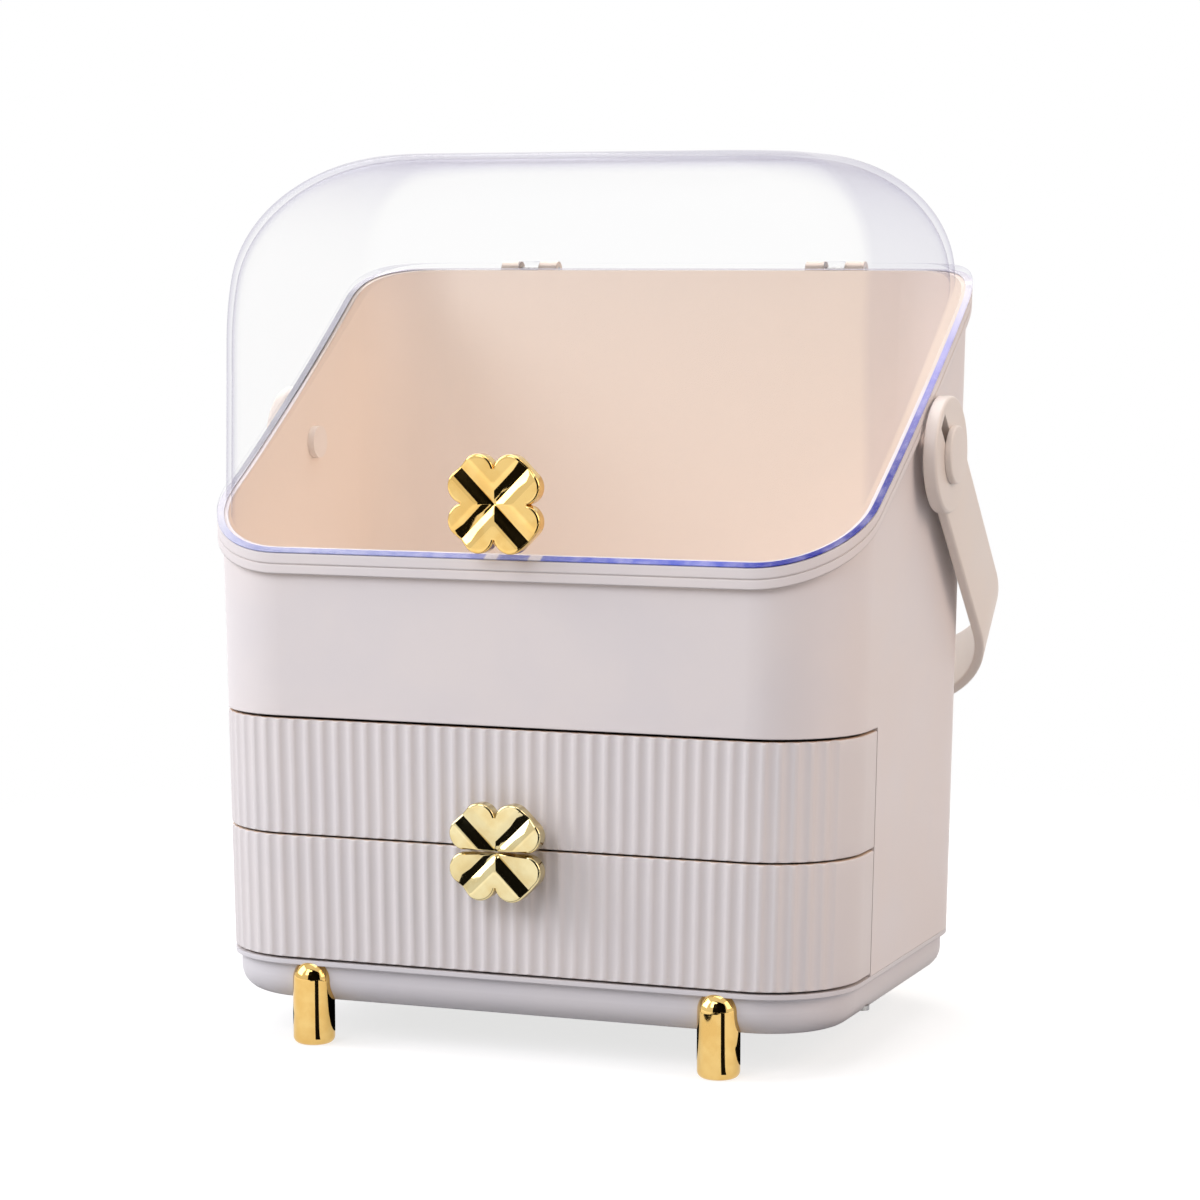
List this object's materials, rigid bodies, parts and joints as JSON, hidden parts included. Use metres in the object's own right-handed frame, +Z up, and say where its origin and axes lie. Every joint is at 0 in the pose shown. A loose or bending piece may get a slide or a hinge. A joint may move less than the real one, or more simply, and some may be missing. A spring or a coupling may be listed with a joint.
{
  "type": "makeup storage case",
  "caption": "Upright makeup storage case with a clear flip-up dome lid, ribbed wrap-round drawers, clover knobs, short round feet and a carrying strap handle.",
  "frame": {"origin": "on the floor, in the middle of the bounding box of the case as it stands with the handle hanging behind it", "axes": "+Z up from the floor, -Y towards the front with the drawers, +X to the right seen from the front"},
  "size_m": [0.3198, 0.2594, 0.3795],
  "materials": {
    "case_plastic": "matt ivory moulded plastic",
    "drawer_plastic": "matt ivory moulded plastic, smooth inside",
    "runner_plastic": "plain moulded plastic",
    "handle_plastic": "satin ivory moulded plastic",
    "lid_clear": "clear polished plastic",
    "gold_plating": "mirror gold plating on plastic",
    "steel": "plain steel fasteners"
  },
  "bodies": {
    "case": {"case_body": "case_plastic", "base_tray": "case_plastic", "base_screws": "steel", "foot_front_left": "gold_plating", "foot_front_right": "gold_plating", "foot_rear_left": "gold_plating", "foot_rear_right": "gold_plating", "foot_screws": "steel", "upper_runner_left": "runner_plastic", "upper_runner_right": "runner_plastic", "lower_runner_left": "runner_plastic", "lower_runner_right": "runner_plastic", "hinge_pin_left": "steel", "hinge_pin_right": "steel", "pivot_pin_left": "handle_plastic", "pivot_pin_right": "handle_plastic", "inner_cap_left": "handle_plastic", "inner_cap_right": "handle_plastic"},
    "lid": {"lid_shell": "lid_clear", "lid_knob": "gold_plating", "lid_knob_screw": "steel"},
    "handle": {"bail_handle": "handle_plastic"},
    "upper_drawer": {"upper_drawer_front": "case_plastic", "upper_drawer_box": "drawer_plastic", "upper_front_screws": "steel", "upper_knob_half": "gold_plating", "upper_knob_screw": "steel"},
    "lower_drawer": {"lower_drawer_front": "case_plastic", "lower_drawer_box": "drawer_plastic", "lower_front_screws": "steel", "lower_knob_half": "gold_plating", "lower_knob_screw": "steel"}
  },
  "joints": [
    {"name": "lid_hinge", "type": "hinge", "parent": "case", "child": "lid", "pos_m": [0, 0.09576, 0.329], "axis": [-1, 0, 0], "range_deg": [0, 105]},
    {"name": "handle_pivot", "type": "hinge", "parent": "case", "child": "handle", "pos_m": [0, 0.00226, 0.2515], "axis": [1, 0, 0], "range_deg": [0, 134]},
    {"name": "upper_drawer_slide", "type": "slide", "parent": "case", "child": "upper_drawer", "axis": [0, -1, 0], "range_m": [0, 0.11]},
    {"name": "lower_drawer_slide", "type": "slide", "parent": "case", "child": "lower_drawer", "axis": [0, -1, 0], "range_m": [0, 0.11]}
  ]
}
